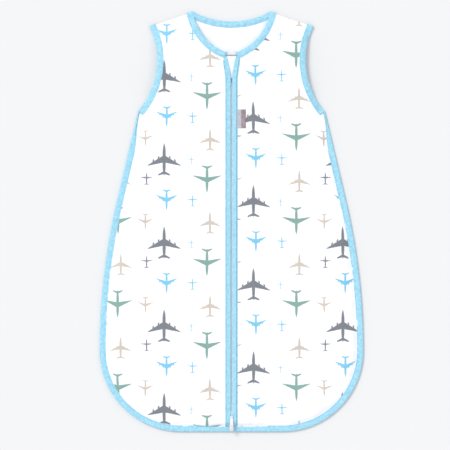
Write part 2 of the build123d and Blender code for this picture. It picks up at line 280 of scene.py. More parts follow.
def add_node(tree, kind, settings=None, **inputs):
    """A node with its settings and its inputs, each a value or another node's output."""
    made = tree.nodes.new(kind)
    for name, value in (settings or {}).items():
        setattr(made, name, value)
    for name, value in inputs.items():
        key = int(name[1:]) if name[0] == "i" and name[1:].isdigit() else name.replace("_", " ")
        if isinstance(value, Number):
            value = value.socket
        if isinstance(value, bpy.types.NodeSocket):
            tree.links.new(value, made.inputs[key])
        else:
            made.inputs[key].default_value = value
    return made


class Number:
    """A number in a shader tree. Arithmetic on it adds Math nodes to the tree."""

    def __init__(self, tree, socket):
        self.tree = tree
        self.socket = socket

    def __add__(self, other):
        return calc(self.tree, "ADD", self, other)

    def __sub__(self, other):
        return calc(self.tree, "SUBTRACT", self, other)

    def __rsub__(self, other):
        return calc(self.tree, "SUBTRACT", other, self)

    def __mul__(self, other):
        return calc(self.tree, "MULTIPLY", self, other)

    def __truediv__(self, other):
        return calc(self.tree, "DIVIDE", self, other)

    def __mod__(self, other):
        return calc(self.tree, "FLOORED_MODULO", self, other)

    def __abs__(self):
        return calc(self.tree, "ABSOLUTE", self)

    def __floor__(self):
        return calc(self.tree, "FLOOR", self)


def calc(tree, operation, *values, clamp=False):
    """The result of a Math node."""
    settings = {"operation": operation, "use_clamp": clamp}
    inputs = {f"i{k}": value for k, value in enumerate(values)}
    return Number(tree, add_node(tree, "ShaderNodeMath", settings, **inputs).outputs[0])


def furthest(operation, first, *others):
    """The MINIMUM or the MAXIMUM of several numbers."""
    for other in others:
        first = calc(first.tree, operation, first, other)
    return first


def vector_calc(tree, operation, *values, **inputs):
    """The result of a Vector Math node."""
    inputs |= {f"i{k}": value for k, value in enumerate(values)}
    return add_node(tree, "ShaderNodeVectorMath", {"operation": operation}, **inputs).outputs[0]


def x_and_y(tree, vector):
    parts = add_node(tree, "ShaderNodeSeparateXYZ", i0=vector).outputs
    return Number(tree, parts[0]), Number(tree, parts[1])


def shader_group(name, inputs, outputs):
    """An empty shader group with named sockets, and its input and output nodes."""
    tree = bpy.data.node_groups.new(name, "ShaderNodeTree")
    for socket, kind, value in inputs:
        made = tree.interface.new_socket(socket, in_out="INPUT", socket_type=f"NodeSocket{kind}")
        if value is not None:
            made.default_value = value
    for socket, kind in outputs:
        tree.interface.new_socket(socket, in_out="OUTPUT", socket_type=f"NodeSocket{kind}")
    return tree, tree.nodes.new("NodeGroupInput").outputs, tree.nodes.new("NodeGroupOutput").inputs


def weave_group():
    """A plain weave: threads of one pitch that pass over and under each other."""
    tree, given, result = shader_group(
        "plain_weave",
        [("Vector", "Vector", None), ("Threads per metre", "Float", 1400.0), ("Turn", "Float", 0.0)],
        [("Height", "Float"), ("Slub", "Float")],
    )
    turned = add_node(
        tree, "ShaderNodeVectorRotate", {"rotation_type": "Z_AXIS"},
        Vector=given["Vector"], Angle=given["Turn"],
    )
    scaled = vector_calc(tree, "SCALE", turned.outputs[0], Scale=given["Threads per metre"])
    x, y = x_and_y(tree, scaled)
    ridges = [abs(calc(tree, "SINE", place * math.pi)) for place in (x, y)]
    parity = (math.floor(x) + math.floor(y)) % 2.0
    woven = add_node(tree, "ShaderNodeMix", {"data_type": "FLOAT"}, i0=parity, i2=ridges[0], i3=ridges[1])
    streaks = vector_calc(tree, "MULTIPLY", scaled, (0.9, 0.05, 0.05))
    slub = add_node(tree, "ShaderNodeTexNoise", Vector=streaks, Scale=1.0, Detail=1.0)
    tree.links.new(woven.outputs[0], result["Height"])
    tree.links.new(slub.outputs[0], result["Slub"])
    return tree


def crumple_group():
    """Small soft crumples, as washed cotton has, and a mask of painted shade that darkens part of each
    crumple.
    """
    tree, given, result = shader_group(
        "cotton_crumple",
        [("Vector", "Vector", None), ("Crumples per metre", "Float", 90.0)],
        [("Height", "Float"), ("Shade", "Float")],
    )
    wide = add_node(
        tree, "ShaderNodeTexNoise", Vector=given["Vector"], Scale=given["Crumples per metre"],
        Detail=2.0, Roughness=0.5, Distortion=0.6,
    )
    height = abs(Number(tree, wide.outputs[0]) - 0.5) * -2.0
    # Mask of painted shade on the crumples
    shade = add_node(
        tree, "ShaderNodeMapRange",
        Value=wide.outputs[0], From_Min=0.3, From_Max=0.7, To_Min=0.0, To_Max=1.0,
    )
    tree.links.new(height.socket, result["Height"])
    tree.links.new(shade.outputs[0], result["Shade"])
    return tree


# Parts of an aeroplane, in half spans from its middle
wing_front = 0.28
wing_root = 1.12               # 1 gives a pointed wing tip
tail_front = -0.7
tail_back = -0.9
tail_half_span = 0.36
engine_middle = 0.5            # between the two engines on one wing
engine_apart = 0.16            # from there to each
engine_half_width = 0.05
engine_half_length = 0.13


def plane_group():
    """The outline of a small aeroplane, 2 units from wing tip to wing tip, with its nose to +Y."""
    tree, given, result = shader_group(
        "aeroplane",
        [
            ("Vector", "Vector", None), ("Sweep", "Float", 0.6), ("Chord", "Float", 0.4),
            ("Body", "Float", 0.1), ("Engines", "Float", 1.0), ("Softness", "Float", 0.04),
        ],
        [("Mask", "Float")],
    )
    x, y = x_and_y(tree, given["Vector"])
    x = abs(x)
    square = y * y
    body = (1.0 - square * square) * given["Body"] - x
    lead = wing_front - x * given["Sweep"]
    trail = lead - (wing_root - x) * given["Chord"]
    wing = furthest("MINIMUM", lead - y, y - trail, 1.0 - x)
    tail_lead = tail_front - x * 0.55
    tail_trail = tail_back - x * 0.25
    tail = furthest("MINIMUM", tail_lead - y, y - tail_trail, tail_half_span - x)
    beside = abs(abs(x - engine_middle) - engine_apart)
    engine_width = Number(tree, given["Engines"]) * engine_half_width
    engine = furthest("MINIMUM", engine_width - beside, engine_half_length - abs(y - lead))
    whole = furthest("MAXIMUM", body, wing, tail, engine)
    mask = calc(tree, "ADD", whole / given["Softness"], 0.5, clamp=True)
    tree.links.new(mask.socket, result["Mask"])
    return tree


print_cell = (74 * MM, 69 * MM)
largest_half_span = 40 * MM     # of a plane whose size is 1


def scatter_group():
    """Half-drop repeat: each point gets its place in its own cell, and which of 4 motifs fills it."""
    tree, given, result = shader_group(
        "half_drop",
        [("Vector", "Vector", None), ("Shift", "Vector", (0.0, 0.0, 0.0))],
        [("Place", "Vector"), ("Motif", "Float")],
    )
    x, y = x_and_y(tree, vector_calc(tree, "ADD", given["Vector"], given["Shift"]))
    across = x / print_cell[0]
    column = math.floor(across)
    odd = column % 2.0
    up = y / print_cell[1] + odd * 0.5
    row = math.floor(up)
    place_x = (across - column - 0.5) * print_cell[0]
    place_y = (up - row - 0.5) * print_cell[1]
    place = add_node(tree, "ShaderNodeCombineXYZ", i0=place_x, i1=place_y)
    turn = (row + math.floor(column / 2.0)) % 2.0
    motif = odd * 0.5 + (turn * 0.25 + 0.1)
    tree.links.new(place.outputs[0], result["Place"])
    tree.links.new(motif.socket, result["Motif"])
    return tree


weave = weave_group()
crumple = crumple_group()
aeroplane = plane_group()
half_drop = scatter_group()


def choose(tree, motif, values):
    """One of four sets of numbers, by motif."""
    ramp = add_node(tree, "ShaderNodeValToRGB", Fac=motif)
    ramp.color_ramp.interpolation = "CONSTANT"
    stops = ramp.color_ramp.elements
    while len(stops) < 4:
        stops.new(0.9)
    for k in range(4):
        stops[k].position = 0.25 * k
    for k in range(4):
        stops[k].color = values[k]
    return ramp


def print_group(name, shift, sizes, noses, sweeps, chords, bodies, engines, jitters, inks):
    """One set of four printed aeroplanes in a half-drop repeat: their colour and their mask.

    A nose is 1 where it points up and 0 where it points down.
    """
    tree, given, result = shader_group(
        name, [("Vector", "Vector", None)], [("Ink", "Color"), ("Mask", "Float")]
    )
    spot = add_node(
        tree, "ShaderNodeGroup", {"node_tree": half_drop}, Vector=given["Vector"], Shift=(*shift, 0.0)
    )
    motif = spot.outputs["Motif"]
    form = choose(tree, motif, [(sizes[k], sweeps[k], chords[k], 1.0) for k in range(4)])
    trim = choose(tree, motif, [(bodies[k], engines[k], noses[k], 1.0) for k in range(4)])
    nudge = choose(tree, motif, [(*jitters[k], 0.5, 1.0) for k in range(4)])
    form_values = add_node(tree, "ShaderNodeSeparateColor", i0=form.outputs[0]).outputs
    trim_values = add_node(tree, "ShaderNodeSeparateColor", i0=trim.outputs[0]).outputs
    nudged = vector_calc(tree, "MULTIPLY_ADD", nudge.outputs[0], (0.02, 0.02, 0.0), (-0.01, -0.01, 0.0))
    centred = vector_calc(tree, "SUBTRACT", spot.outputs["Place"], nudged)
    half_span = Number(tree, form_values[0]) * largest_half_span
    nose = calc(tree, "MULTIPLY_ADD", trim_values[2], 2.0, -1.0)
    scale = add_node(tree, "ShaderNodeCombineXYZ", i0=half_span, i1=half_span * nose, i2=1.0)
    scaled = vector_calc(tree, "DIVIDE", centred, scale.outputs[0])
    plane = add_node(
        tree, "ShaderNodeGroup", {"node_tree": aeroplane}, Vector=scaled, Sweep=form_values[1],
        Chord=form_values[2], Body=trim_values[0], Engines=trim_values[1], Softness=0.05,
    )
    ink = choose(tree, motif, inks)
    tree.links.new(ink.outputs[0], result["Ink"])
    tree.links.new(plane.outputs["Mask"], result["Mask"])
    return tree


slate = paint(106, 112, 118)
sage = paint(118, 160, 146)
sky = paint(112, 192, 226)
sand = paint(202, 190, 174)
charcoal = paint(112, 116, 124)
mist = paint(160, 198, 226)
large_print = print_group(
    "large_planes", (0.0, 0.0),
    sizes=(0.68, 0.44, 0.58, 0.46), noses=(1, 0, 0, 1),
    sweeps=(0.62, 0.7, 0.5, 0.55), chords=(0.42, 0.4, 0.36, 0.36),
    bodies=(0.1, 0.1, 0.1, 0.11), engines=(1.0, 0.9, 0.0, 0.6),
    jitters=((0.5, 0.5), (0.7, 0.6), (0.35, 0.6), (0.6, 0.4)), inks=(slate, sky, sage, sand),
)
small_print = print_group(
    "small_planes", (29 * MM, 34 * MM),
    sizes=(0.26, 0.34, 0.25, 0.18), noses=(1, 0, 1, 1),
    sweeps=(0.05, 0.6, 0.0, 0.0), chords=(0.24, 0.34, 0.22, 0.2),
    bodies=(0.11, 0.11, 0.1, 0.1), engines=(0.5, 0.0, 0.5, 0.0),
    jitters=((0.5, 0.6), (0.4, 0.5), (0.6, 0.5), (0.5, 0.4)), inks=(charcoal, sand, sky, mist),
)


# --- Materials --------------------------------------------------------------------------------

def new_material(name, **finish):
    """A material with a Principled shader whose even finish is set on its own sockets."""
    made = bpy.data.materials.new(name)
    made.use_nodes = True
    shader = made.node_tree.nodes["Principled BSDF"]
    for socket, value in finish.items():
        shader.inputs[socket.replace("_", " ")].default_value = value
    return made, made.node_tree, shader


def cloth_coordinates(tree):
    """The flat cloth's own coordinates in metres."""
    return add_node(tree, "ShaderNodeUVMap", {"uv_map": "cloth"}).outputs[0]


def mixed(tree, factor, first, second, blend="MIX"):
    settings = {"data_type": "RGBA", "blend_type": blend}
    return add_node(tree, "ShaderNodeMix", settings, i0=factor, i6=first, i7=second).outputs[2]


def cloth_surface_and_shade(tree, shader, place, colour, dark, threads, turn, thread_depth, crumples, crumple_depth):
    """Weave and crumples on a cloth: painted shade darkens its colour between threads and on the crumples,
    uneven threads darken it too, and both feed one normal.
    """
    woven = add_node(
        tree, "ShaderNodeGroup", {"node_tree": weave}, Vector=place, Threads_per_metre=threads, Turn=turn
    )
    soft = add_node(
        tree, "ShaderNodeGroup", {"node_tree": crumple}, Vector=place, Crumples_per_metre=crumples
    )
    # Painted shade: darker where the threads dip and on the crumples; the slub below adds the uneven tone of
    # the threads
    thread_hollow_shade = (1.0 - Number(tree, woven.outputs["Height"])) * 0.35
    wear_and_shade = calc(tree, "MULTIPLY_ADD", soft.outputs["Shade"], 0.45, thread_hollow_shade)
    between = calc(tree, "MULTIPLY_ADD", woven.outputs["Slub"], 0.3, wear_and_shade, clamp=True)
    darkened = mixed(tree, 1.0, colour, dark, "MULTIPLY")
    tree.links.new(mixed(tree, between, colour, darkened), shader.inputs["Base Color"])
    dullness = calc(tree, "MULTIPLY_ADD", woven.outputs["Slub"], 0.15, 0.78)
    tree.links.new(dullness.socket, shader.inputs["Roughness"])
    threads_bump = add_node(
        tree, "ShaderNodeBump", Strength=0.6, Distance=thread_depth, Height=woven.outputs["Height"]
    )
    soft_bump = add_node(
        tree, "ShaderNodeBump", Strength=0.8, Distance=crumple_depth, Height=soft.outputs["Height"],
        Normal=threads_bump.outputs[0],
    )
    tree.links.new(soft_bump.outputs[0], shader.inputs["Normal"])


cloth_sheen = {"Sheen_Weight": 0.15, "Sheen_Roughness": 0.5, "Specular_IOR_Level": 0.25}


# Threads per metre, their turn and depth, then crumples per metre and their depth
muslin_weave = (1300.0, 0.0, 0.08 * MM, 60.0, 0.5 * MM)
bias_weave = (2200.0, math.radians(45), 0.05 * MM, 210.0, 0.45 * MM)
guard_edge_weave = (2200.0, math.radians(45), 0.05 * MM, 200.0, 0.2 * MM)
zip_tape_threads = (1600.0, 0.0, 0.1 * MM, 60.0, 0.1 * MM)
ribbon_weave = (2600.0, 0.0, 0.06 * MM, 120.0, 0.1 * MM)


def printed_muslin():
    made, tree, shader = new_material("printed_muslin", **cloth_sheen)
    place = cloth_coordinates(tree)
    frayed = add_node(tree, "ShaderNodeTexNoise", Vector=place, Scale=900.0, Detail=1.0)
    bled = vector_calc(tree, "MULTIPLY_ADD", frayed.outputs["Color"], (1.2 * MM, 1.2 * MM, 0.0), place)
    ground = paint(253, 253, 254)
    colour = None
    for tree_group in (large_print, small_print):
        motifs = add_node(tree, "ShaderNodeGroup", {"node_tree": tree_group}, Vector=bled)
        wear_off = calc(tree, "MULTIPLY_ADD", frayed.outputs[0], 0.5, 0.68)
        faded = calc(tree, "MULTIPLY", motifs.outputs["Mask"], wear_off, clamp=True)
        colour = mixed(tree, faded, ground if colour is None else colour, motifs.outputs["Ink"])
    # The lavender second colour is the tint of the painted shade and of the uneven threads
    cloth_surface_and_shade(tree, shader, place, colour, paint(238, 238, 244), *muslin_weave)
    return made


def plain_cloth(name, colour, dark, threads):
    made, tree, shader = new_material(name, **cloth_sheen)
    cloth_surface_and_shade(tree, shader, cloth_coordinates(tree), colour, dark, *threads)
    return made


muslin = printed_muslin()
# The second colour of each cloth tints its painted shade and its uneven threads
lining = plain_cloth("white_lining", paint(252, 252, 253), paint(236, 236, 244), muslin_weave)
bias_cotton = plain_cloth("sky_bias_cotton", paint(180, 228, 241), paint(168, 200, 220), bias_weave)
tape_cloth = plain_cloth("zip_tape_weave", paint(120, 176, 208), paint(180, 196, 210), zip_tape_threads)
# Brownish cloth whose colour is painted shadow along the top edge of the zip guard
guard_edge_shadow_cloth = plain_cloth("painted_shadow_edge", paint(186, 170, 164), paint(200, 190, 190), guard_edge_weave)


def thread_material():
    """Twisted sewing thread: plies that wind round it, with painted shade in the grooves between them and
    painted light on their tops.
    """
    made, tree, shader = new_material("blue_thread", Roughness=0.6, Sheen_Weight=0.2, Specular_IOR_Level=0.4)
    place = add_node(tree, "ShaderNodeTexCoord").outputs["Object"]
    plies = add_node(
        tree, "ShaderNodeTexWave", {"bands_direction": "DIAGONAL"}, Vector=place, Scale=900.0, Distortion=0.5
    )
    # Painted shade and light: the blue is darker where the plies dip and lighter on their tops, as the bump
    # is
    ply_shaded_blues = mixed(tree, plies.outputs["Fac"], paint(126, 190, 220), paint(156, 212, 236))
    tree.links.new(ply_shaded_blues, shader.inputs["Base Color"])
    bump = add_node(tree, "ShaderNodeBump", Strength=0.4, Distance=0.05 * MM, Height=plies.outputs["Fac"])
    tree.links.new(bump.outputs[0], shader.inputs["Normal"])
    return made


def moulded_material(name, colour, wear_and_shade, roughness, grain, depth, **finish):
    """Moulded or lacquered surfaces: fine grain, small cloudy changes of colour and rubbed spots."""
    made, tree, shader = new_material(name, **finish)
    place = add_node(tree, "ShaderNodeTexCoord").outputs["Object"]
    cloud = add_node(tree, "ShaderNodeTexNoise", Vector=place, Scale=280.0, Detail=3.0)
    specks = add_node(tree, "ShaderNodeTexNoise", Vector=place, Scale=grain, Detail=2.0)
    rubbed = add_node(
        tree, "ShaderNodeMapRange",
        Value=cloud.outputs[0], From_Min=0.42, From_Max=0.72, To_Min=0.0, To_Max=1.0,
    )
    tree.links.new(mixed(tree, rubbed.outputs[0], colour, wear_and_shade), shader.inputs["Base Color"])
    dullness = calc(tree, "MULTIPLY_ADD", specks.outputs[0], 0.25, roughness)
    tree.links.new(dullness.socket, shader.inputs["Roughness"])
    bump = add_node(tree, "ShaderNodeBump", Strength=0.5, Distance=depth, Height=specks.outputs[0])
    tree.links.new(bump.outputs[0], shader.inputs["Normal"])
    return made


label_stripe = 7.4 * MM          # width of the grey stripe


def label_material():
    """A bare woven ribbon: a wide grey stripe, and a rosy one along the outer side."""
    made, tree, shader = new_material("label_ribbon", **cloth_sheen)
    place = cloth_coordinates(tree)
    stripe = calc(tree, "GREATER_THAN", x_and_y(tree, place)[0], label_stripe)
    colour = mixed(tree, stripe, paint(206, 208, 216), paint(176, 158, 162))
    cloth_surface_and_shade(tree, shader, place, colour, paint(170, 170, 180), *ribbon_weave)
    return made


thread = thread_material()
coil_nylon = moulded_material(
    "zip_coil_nylon", paint(104, 154, 184), paint(128, 176, 202), 0.35, 3000.0, 0.02 * MM,
    Specular_IOR_Level=0.5,
)
zip_plastic = moulded_material(
    "zip_end_nylon", paint(110, 160, 190), paint(140, 186, 210), 0.35, 2500.0, 0.02 * MM
)
lacquer = moulded_material(
    "white_lacquer", paint(236, 237, 240), paint(214, 212, 214), 0.25, 1800.0, 0.015 * MM,
    Coat_Weight=0.4, Coat_Roughness=0.15,
)
soft_tab = moulded_material(
    "soft_pull_tab", paint(222, 214, 216), paint(204, 190, 190), 0.5, 1500.0, 0.03 * MM
)
ribbon = label_material()


# --- Making pieces ----------------------------------------------------------------------------

def make_mesh(name, vertices, faces, materials, cloth=None, face_slots=None):
    """A smooth-shaded object from vertices and faces, with flat cloth coordinates as its UV map."""
    mesh = bpy.data.meshes.new(name)
    mesh.from_pydata([tuple(v) for v in vertices], [], [tuple(f) for f in faces])
    for material in materials:
        mesh.materials.append(material)
    if face_slots is not None:
        mesh.polygons.foreach_set("material_index", np.asarray(face_slots, np.int32))
    if cloth is not None:
        layer = mesh.uv_layers.new(name="cloth")
        corners = np.empty(len(mesh.loops), np.int32)
        mesh.loops.foreach_get("vertex_index", corners)
        layer.data.foreach_set("uv", np.asarray(cloth, np.float32)[corners].ravel())
    mesh.polygons.foreach_set("use_smooth", np.ones(len(mesh.polygons), bool))
    mesh.update()
    piece = bpy.data.objects.new(name, mesh)
    bpy.context.scene.collection.objects.link(piece)
    return piece


def baked(piece):
    """The piece with its modifiers applied."""
    graph = bpy.context.evaluated_depsgraph_get()
    mesh = bpy.data.meshes.new_from_object(piece.evaluated_get(graph))
    piece.modifiers.clear()
    piece.data = mesh
    return piece


def rounded(piece):
    """The piece with each face divided once and rounded."""
    rounding = piece.modifiers.new("rounding", "SUBSURF")
    rounding.levels = 1
    rounding.render_levels = 1
    return baked(piece)


def thickened(piece, thickness):
    """The piece with a thickness grown inwards from its surface."""
    wall = piece.modifiers.new("cloth_thickness", "SOLIDIFY")
    wall.thickness = thickness
    wall.offset = -1
    return baked(piece)


def grid_faces(order):
    """Four-cornered faces between points that are numbered in rows and columns."""
    corners = (order[:-1, :-1], order[:-1, 1:], order[1:, 1:], order[1:, :-1])
    return np.stack(corners, -1).reshape(-1, 4)


def closed_faces(rim):
    """Upper and lower faces of a closed form over a grid, and which points have a second one below.

    The points on the rim belong to both sides. The second ones follow the grid's own points.
    """
    inside = np.flatnonzero(~rim)
    lower = np.where(rim.ravel(), np.arange(rim.size), 0)
    lower[inside] = rim.size + np.arange(len(inside))
    upper_faces = grid_faces(np.arange(rim.size).reshape(rim.shape))
    return upper_faces, lower[upper_faces][:, ::-1], inside


def crowded(count, pull):
    """Places from 0 to 1 that are closer together near both ends."""
    even = np.linspace(0, 1, count)
    return even - pull * np.sin(2 * math.pi * even) / (2 * math.pi)


def panel_grid(inner, outer, low, high, bend_low, bend_outer, columns, rows):
    """A grid of flat points inside four lines. The high line and the outer line each turn a corner.

    The bends are the shares of their length at which they turn, so that a column and a row
    end exactly there.
    """
    across = crowded(columns, 0.45)
    up = crowded(rows, 0.4)
    turn_column = int(np.argmin(np.abs(across - bend_low)))
    turn_row = int(np.argmin(np.abs(up - bend_outer)))
    high_places = np.interp(across, (0, across[turn_column], 1), (0, bend_low, 1))
    outer_places = np.interp(up, (0, up[turn_row], 1), (0, bend_outer, 1))
    bottom = along(low, across)[None, :, :]
    top = along(high, high_places)[None, :, :]
    left = along(inner, up)[:, None, :]
    right = along(outer, outer_places)[:, None, :]
    u = across[None, :, None]
    v = up[:, None, None]
    corners = (
        (1 - u) * (1 - v) * bottom[:, :1] + u * (1 - v) * bottom[:, -1:]
        + (1 - u) * v * top[:, :1] + u * v * top[:, -1:]
    )
    return (1 - v) * bottom + v * top + (1 - u) * left + u * right - corners


def padded_panel(name, grid, over, under, outside_up, materials):
    """A closed pad over a grid of flat points, between an upper and a lower height."""
    rows, columns = grid.shape[:2]
    flat = grid.reshape(-1, 2)
    rim = np.zeros((rows, columns), bool)
    rim[[0, -1], :] = True
    rim[:, [0, -1]] = True
    upper_faces, lower_faces, inside = closed_faces(rim)
    rim = rim.ravel()
    high, low = over(flat), under(flat)
    high = np.where(rim, (high + low) / 2, high)
    vertices = np.concatenate(
        (np.column_stack((flat, high)), np.column_stack((flat[inside], low[inside])))
    )
    if np.cross(*(flat[upper_faces[0][[1, 3]]] - flat[upper_faces[0][0]])) < 0:
        upper_faces, lower_faces = upper_faces[:, ::-1], lower_faces[:, ::-1]
    faces = np.concatenate((upper_faces, lower_faces))
    slots = np.concatenate((np.zeros(len(upper_faces)), np.ones(len(lower_faces))))
    if not outside_up:
        slots = 1 - slots
    cloth = vertices[:, :2] if outside_up else vertices[:, :2] * (-1, 1)
    piece = make_mesh(name, vertices, faces, materials, cloth, slots)
    held = piece.vertex_groups.new(name="sewn")
    held.add([int(k) for k in np.flatnonzero(rim)], 1.0, "REPLACE")
    return piece


settle_frames = 14
settle_limit = 1.3 * MM


def settle(piece, edges):
    """A short cloth simulation: the filling pushes the pad out between its sewn edges."""
    before = np.empty(len(piece.data.vertices) * 3)
    piece.data.vertices.foreach_get("co", before)
    before = before.reshape(-1, 3)
    cloth = piece.modifiers.new("settling", "CLOTH")
    cloth.settings.vertex_group_mass = "sewn"
    cloth.settings.pin_stiffness = 5
    cloth.settings.use_pressure = True
    cloth.settings.uniform_pressure_force = 1.5
    cloth.settings.shrink_min = -0.02
    cloth.settings.quality = 4
    cloth.settings.effector_weights.gravity = 0
    cloth.point_cache.frame_start = 1
    cloth.point_cache.frame_end = settle_frames
    for step in range(1, settle_frames + 1):
        bpy.context.scene.frame_set(step)
    graph = bpy.context.evaluated_depsgraph_get()
    result = piece.evaluated_get(graph).to_mesh()
    after = np.empty(len(result.vertices) * 3)
    result.vertices.foreach_get("co", after)
    moved = after.reshape(-1, 3) - before
    piece.modifiers.remove(cloth)
    bpy.context.scene.frame_set(1)
    distance = nearest(folded(before), edges)[0]
    moved *= ease(distance, 11 * MM, 26 * MM)[:, None]
    reach = np.linalg.norm(moved, axis=1)
    moved *= (settle_limit * np.tanh(reach / settle_limit) / np.maximum(reach, 1e-9))[:, None]
    after = before + moved
    piece.data.vertices.foreach_set("co", after.ravel())
    piece.data.update()
    return piece


def mirrored(grid):
    return grid * (-1, 1)


def share(first, whole):
    return length_of(first) / length_of(whole)


panel_points = (46, 140)        # columns and rows of half a panel
front_outer = joined(side_line, armhole_line)
front_top_line = joined(front_neck_line, shoulder_line)
front_grid = panel_grid(
    zip_line, front_outer, hem_line, front_top_line,
    share(front_neck_line, front_top_line), share(side_line, front_outer), *panel_points,
)
back_hem_line = joined((0, hem), hem_line)
back_top_line = joined(back_neck_line, shoulder_line)
back_half = panel_grid(
    joined((0, hem), back_neck_line[0]), front_outer, back_hem_line, back_top_line,
    share(back_neck_line, back_top_line), share(side_line, front_outer), *panel_points,
)
back_grid = np.concatenate((mirrored(back_half)[:, :0:-1], back_half), 1)

cloths = [muslin, lining]
front_left = padded_panel("front_left", front_grid, front_height, front_under, True, cloths)
front_right = padded_panel("front_right", mirrored(front_grid), front_height, front_under, True, cloths)
back = padded_panel("back", back_grid, back_top, back_height, False, cloths)

for panel in (front_left, front_right):
    settle(panel, front_edges)

for panel in (front_left, front_right, back):
    rounded(panel)

for panel, side in ((front_left, "left"), (front_right, "right")):
    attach(panel, "bag")
    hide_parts(f"front_shell_{side}", f"front_wadding_{side}", f"front_lining_{side}")
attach(back, "bag")
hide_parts("back_shell", "back_wadding", "back_lining")


# --- Bindings ---------------------------------------------------------------------------------

tape_step = 2 * MM

# Section of a binding: inset from the cut edge as a share of its width, less a length,
# then how far down from the upper to the lower side, then how proud of the cloth it stands
upper_run = [
    (1.0, 0.0, 0.0, 0.10), (1.0, 0.3, 0.0, 0.48), (1.0, 1.1, 0.0, 0.58), (1.0, 1.8, 0.0, 0.22),
    (1.0, 2.6, 0.0, 0.62), (0.6, 0.0, 0.0, 0.78), (0.38, 0.0, 0.0, 0.82),
    (0.18, 0.0, 0.0, 0.72), (0.04, 0.0, 0.0, 0.6),
]
edge_fold = [(0.0, 0.4, 0.12, 0.6), (0.0, 0.6, 0.5, 0.6), (0.0, 0.4, 0.88, 0.6)]
lip_fold = [
    (0.0, 1.5, 0.0, 0.6), (0.0, 3.0, 0.0, 0.58), (0.0, 4.1, 0.0, 0.4), (0.0, 4.4, 0.0, 0.05),
    (0.0, 4.1, 0.0, -0.3), (0.0, 2.6, 0.0, -0.38), (0.0, 1.2, 0.0, -0.4),
    (0.0, 0.6, 0.2, 0.3), (0.0, 0.5, 0.85, 0.4),
]


def lower_run():
    return [(share_of, less, 1.0, proud) for share_of, less, _, proud in reversed(upper_run)]


def binding_run(line, cloth_side, over, under, width, folding=None, low_width=None, seed=0.0, clip=None):
    """Places of a binding's points along one cut edge, as (steps, section, 3), and its flat cloth."""
    count = max(8, int(length_of(line) / tape_step))
    places = np.linspace(0, 1, count)
    path = along(line, places)
    heading = np.gradient(path, axis=0)
    heading /= np.linalg.norm(heading, axis=1)[:, None]
    inward = np.stack((-heading[:, 1], heading[:, 0]), 1) * cloth_side
    run = places * length_of(line)
    section = upper_run + (folding or edge_fold) + lower_run()
    width = np.broadcast_to(width, (count,))
    low_width = np.broadcast_to(width if low_width is None else low_width, (count,))
    wobble = 0.35 * MM * rough(np.stack((run, run * 0), 1), 13 * MM, seed)
    flat, down, proud = [], [], []
    for share_of, less, drop, height in section:
        wide = (low_width if drop > 0.5 else width) + wobble
        inset = share_of * wide - less * MM
        flat.append(path + inward * inset[:, None])
        ruck = rough(np.stack((run, np.full(count, inset.mean())), 1), 5.5 * MM, seed + 17.3)
        slack = 0.0 if abs(height - 0.22) < 0.01 or height <= 0.1 else 0.3
        down.append(np.full(count, drop))
        proud.append((height + slack * ruck) * MM)
    flat, down, proud = np.array(flat), np.array(down), np.array(proud)
    points = flat.reshape(-1, 2)
    high = over(points).reshape(down.shape)
    low = under(points).reshape(down.shape)
    z = (1 - down) * (high + proud) + down * (low - proud)
    z = np.maximum(z, 0.02 * MM)
    if clip is not None:
        flat = clip(flat)
    girth = np.concatenate(([0], np.cumsum(np.abs(np.diff([s[0] * 10 - s[1] for s in section])) + 0.3))) * MM
    placed = np.concatenate((flat, z[..., None]), -1).transpose(1, 0, 2)
    cloth = np.stack(np.meshgrid(girth, run), -1) + seed * 13 * MM
    return placed, cloth, inward


tape_cloth_thickness = 0.35 * MM


def binding(name, runs, node, seam_rows):
    """A bias binding made of runs, each turned in and closed, with its rows of topstitching."""
    vertices, faces, cloth = [], [], []
    for placed, flat, _ in runs:
        steps, section = placed.shape[:2]
        order = np.arange(steps * section).reshape(steps, section) + sum(len(v) for v in vertices)
        quads = grid_faces(order.T)
        middle = steps // 2
        across = placed[middle, 4] - placed[middle, 3]
        ahead = placed[middle + 1, 3] - placed[middle, 3]
        if np.cross(ahead, across)[2] < 0:
            quads = quads[:, ::-1]
        vertices.append(placed.reshape(-1, 3))
        cloth.append(flat.reshape(-1, 2))
        faces.append(quads)
    vertices, faces, cloth = (np.concatenate(parts) for parts in (vertices, faces, cloth))
    piece = make_mesh(name, vertices, faces, [bias_cotton], cloth)
    thickened(piece, tape_cloth_thickness)
    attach(piece, "bag")
    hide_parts(*node)
    for placed, _, _ in runs:
        seam_rows.append(placed[:, 3] + (0, 0, 0.12 * MM))
        seam_rows.append(placed[:, -4] - (0, 0, 0.12 * MM))
    return piece


def both_sides(line):
    """The same line on the wearer's left and right, with the side on which its cloth lies."""
    return ((line, 1), (line * (-1, 1), -1))


def sheet_under_front(points):
    """Lower side of the front's cloth, kept above the back's own binding where the two meet."""
    return np.maximum(front_under(points), back_top(points) + 1.3 * MM)


def shoulder_cut(flat):
    """Bindings end at the shoulder seam."""
    x = np.abs(flat[..., 0])
    slope = (shoulder_tip[1] - neck_point[1]) / (shoulder_tip[0] - neck_point[0])
    highest = np.where(x > neck_half, neck_point[1] + (x - neck_half) * slope, cloth_top) + binding_cloth
    return np.stack((flat[..., 0], np.minimum(flat[..., 1], highest)), -1)


stitch_rows = []
outer_line = joined(hem_line[1:], side_line)
whole_outer = joined((outer_line * (-1, 1))[::-1], outer_line)
outer_run = np.linspace(0, length_of(whole_outer), int(length_of(whole_outer) / tape_step))
from_underarm = np.minimum(outer_run, outer_run[-1] - outer_run)
rolled_under = ease(from_underarm, 6 * MM, 75 * MM)
edge_width = 3.2 * MM + (binding_width - 3.2 * MM) * rolled_under
edge_tape = binding(
    "edge_binding_tape",
    [binding_run(whole_outer, 1, front_height, back_height, edge_width, low_width=binding_width, seed=1.0)],
    ["edge_binding"], stitch_rows,
)

